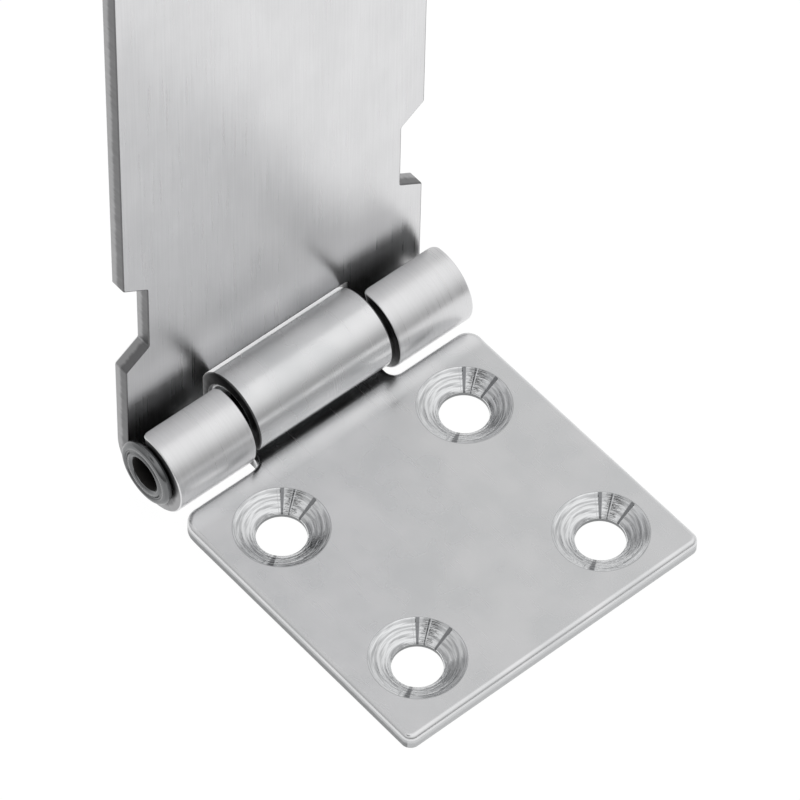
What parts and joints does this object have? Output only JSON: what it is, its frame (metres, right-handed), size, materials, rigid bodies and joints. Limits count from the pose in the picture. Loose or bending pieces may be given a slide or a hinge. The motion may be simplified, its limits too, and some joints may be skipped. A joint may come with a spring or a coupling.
{
  "type": "hinged hasp and staple",
  "caption": "Stainless steel hinged hasp: a countersunk leaf, a slotted strap on a rolled three-knuckle hinge with a hollow pin, and a riveted rod staple on its own plate.",
  "frame": {"origin": "middle of the leaf's four screw holes, on the face that is screwed down", "axes": "+X along the hinge pin, +Y from the leaf towards the barrel, +Z off the mounting face, the way the open strap stands"},
  "size_m": [0.0439, 0.1255, 0.133],
  "materials": {
    "polished_sheet": "satin polished stainless steel sheet",
    "brushed_sheet": "stainless steel sheet brushed along its length",
    "rolled_tube": "drawn stainless steel tube with rolled ends",
    "bent_rod": "polished stainless steel rod"
  },
  "bodies": {
    "root": {"base_leaf": "polished_sheet", "hinge_pin": "rolled_tube", "staple_plate": "polished_sheet", "staple_loop": "bent_rod"},
    "strap": {"hasp_strap": "brushed_sheet"}
  },
  "joints": [
    {"name": "strap_hinge", "type": "hinge", "parent": "root", "child": "strap", "pos_m": [0, 0.02419, 0.006], "axis": [1, 0, 0], "range_deg": [-90, 90]}
  ]
}
